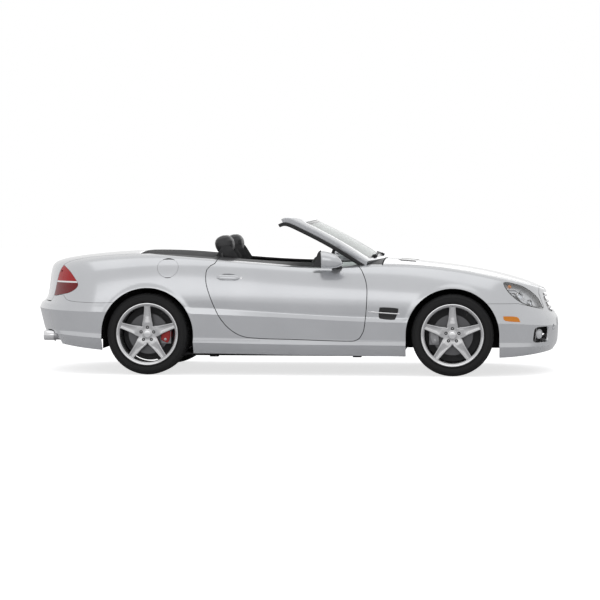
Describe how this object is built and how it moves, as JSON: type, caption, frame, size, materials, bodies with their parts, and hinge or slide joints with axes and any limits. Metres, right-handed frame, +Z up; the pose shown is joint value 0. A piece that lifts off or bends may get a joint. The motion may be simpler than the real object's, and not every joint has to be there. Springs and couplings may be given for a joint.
{
  "type": "convertible car",
  "caption": "Two-seat open car with long hood, folding roof stowed, opening doors, hood, boot lid and fuel flap, steered and turning wheels.",
  "frame": {"origin": "on the ground under the middle of the car, halfway between nose and tail", "axes": "+X forward, +Y to the car's left, +Z up"},
  "size_m": [4.49, 2.0618, 1.3428],
  "materials": {
    "silver_paint": "clear-coated silver metallic",
    "dark_steel": "dark coated steel",
    "black_plastic": "grained black",
    "black_leather": "soft black leather",
    "clear_glass": "clear, faint green tint",
    "lamp_glass": "clear lamp cover",
    "red_lamp": "glossy red lens",
    "tyre": "black rubber",
    "silver_alloy": "silver painted alloy, machined edges",
    "disc_iron": "machined faces",
    "exhaust_steel": "satin stainless"
  },
  "bodies": {
    "body": {"floor_pan": "dark_steel", "side_sills": "silver_paint", "wheel_liners": "black_plastic", "front_bumper": "silver_paint", "rear_bumper": "silver_paint", "front_fender_left": "silver_paint", "front_fender_right": "silver_paint", "rear_quarter_left": "silver_paint", "rear_quarter_right": "silver_paint", "rear_deck": "black_plastic", "windscreen_frame": "black_plastic", "windscreen_glass": "clear_glass", "dashboard": "black_plastic", "centre_console": "black_plastic", "seat_left": "black_leather", "seat_right": "black_leather", "interior_mirror": "black_plastic", "headlamps": "lamp_glass", "tail_lamps": "red_lamp", "fog_lamps": "black_plastic", "grille": "black_plastic", "wipers": "black_plastic", "rear_hub_carriers": "dark_steel", "front_subframe": "dark_steel", "rear_subframe": "dark_steel", "exhaust": "exhaust_steel", "engine": "dark_steel"},
    "wheel_front_left": {"tyre_front_left": "tyre", "rim_front_left": "silver_alloy", "brake_disc_front_left": "disc_iron"},
    "wheel_front_right": {"tyre_front_right": "tyre", "rim_front_right": "silver_alloy", "brake_disc_front_right": "disc_iron"},
    "wheel_rear_left": {"tyre_rear_left": "tyre", "rim_rear_left": "silver_alloy", "brake_disc_rear_left": "disc_iron"},
    "wheel_rear_right": {"tyre_rear_right": "tyre", "rim_rear_right": "silver_alloy", "brake_disc_rear_right": "disc_iron"},
    "knuckle_left": {"front_knuckle_left": "dark_steel"},
    "knuckle_right": {"front_knuckle_right": "dark_steel"},
    "door_left_body": {"door_left": "silver_paint", "mirror_left": "silver_paint", "door_handle_left": "silver_paint"},
    "door_right_body": {"door_right": "silver_paint", "mirror_right": "silver_paint", "door_handle_right": "silver_paint"},
    "hood_body": {"hood": "silver_paint"},
    "trunk_lid_body": {"trunk_lid": "silver_paint"},
    "fuel_flap_body": {"fuel_flap": "silver_paint"},
    "steering_wheel_body": {"steering_wheel": "black_plastic"}
  },
  "joints": [
    {"name": "steer_left", "type": "hinge", "parent": "body", "child": "knuckle_left", "pos_m": [1.355, 0.7485, 0.341], "axis": [0, 0, 1], "range_deg": [-32, 32]},
    {"name": "steer_right", "type": "hinge", "parent": "body", "child": "knuckle_right", "pos_m": [1.355, -0.7485, 0.341], "axis": [0, 0, 1], "range_deg": [-32, 32]},
    {"name": "steering_wheel_turn", "type": "hinge", "parent": "body", "child": "steering_wheel_body", "pos_m": [0.06, 0.37, 0.79], "axis": [-0.9135, 0, 0.4067], "range_deg": [-448, 448]},
    {"name": "spin_front_left", "type": "hinge", "parent": "knuckle_left", "child": "wheel_front_left", "pos_m": [1.355, 0.7685, 0.341], "axis": [0, 1, 0], "continuous": true},
    {"name": "spin_front_right", "type": "hinge", "parent": "knuckle_right", "child": "wheel_front_right", "pos_m": [1.355, -0.7685, 0.341], "axis": [0, 1, 0], "continuous": true},
    {"name": "spin_rear_left", "type": "hinge", "parent": "body", "child": "wheel_rear_left", "pos_m": [-1.185, 0.7535, 0.341], "axis": [0, 1, 0], "continuous": true},
    {"name": "spin_rear_right", "type": "hinge", "parent": "body", "child": "wheel_rear_right", "pos_m": [-1.185, -0.7535, 0.341], "axis": [0, 1, 0], "continuous": true},
    {"name": "door_left_open", "type": "hinge", "parent": "body", "child": "door_left_body", "pos_m": [0.56, 0.884, 0.5], "axis": [0, 0, -1], "range_deg": [0, 65]},
    {"name": "door_right_open", "type": "hinge", "parent": "body", "child": "door_right_body", "pos_m": [0.56, -0.884, 0.5], "axis": [0, 0, 1], "range_deg": [0, 65]},
    {"name": "hood_open", "type": "hinge", "parent": "body", "child": "hood_body", "pos_m": [0.772, 0, 0.972], "axis": [0, -1, 0], "range_deg": [0, 50]},
    {"name": "trunk_lid_open", "type": "hinge", "parent": "body", "child": "trunk_lid_body", "pos_m": [-1.27, 0, 1.03], "axis": [0, 1, 0], "range_deg": [0, 70]},
    {"name": "fuel_flap_open", "type": "hinge", "parent": "body", "child": "fuel_flap_body", "pos_m": [-0.929, -0.851, 0.896], "axis": [0, 0.4695, 0.8829], "range_deg": [0, 90]}
  ],
  "couplings": [
    {"joint": "steer_right", "follows": "steer_left", "ratio": 1},
    {"joint": "steering_wheel_turn", "follows": "steer_left", "ratio": 14}
  ]
}
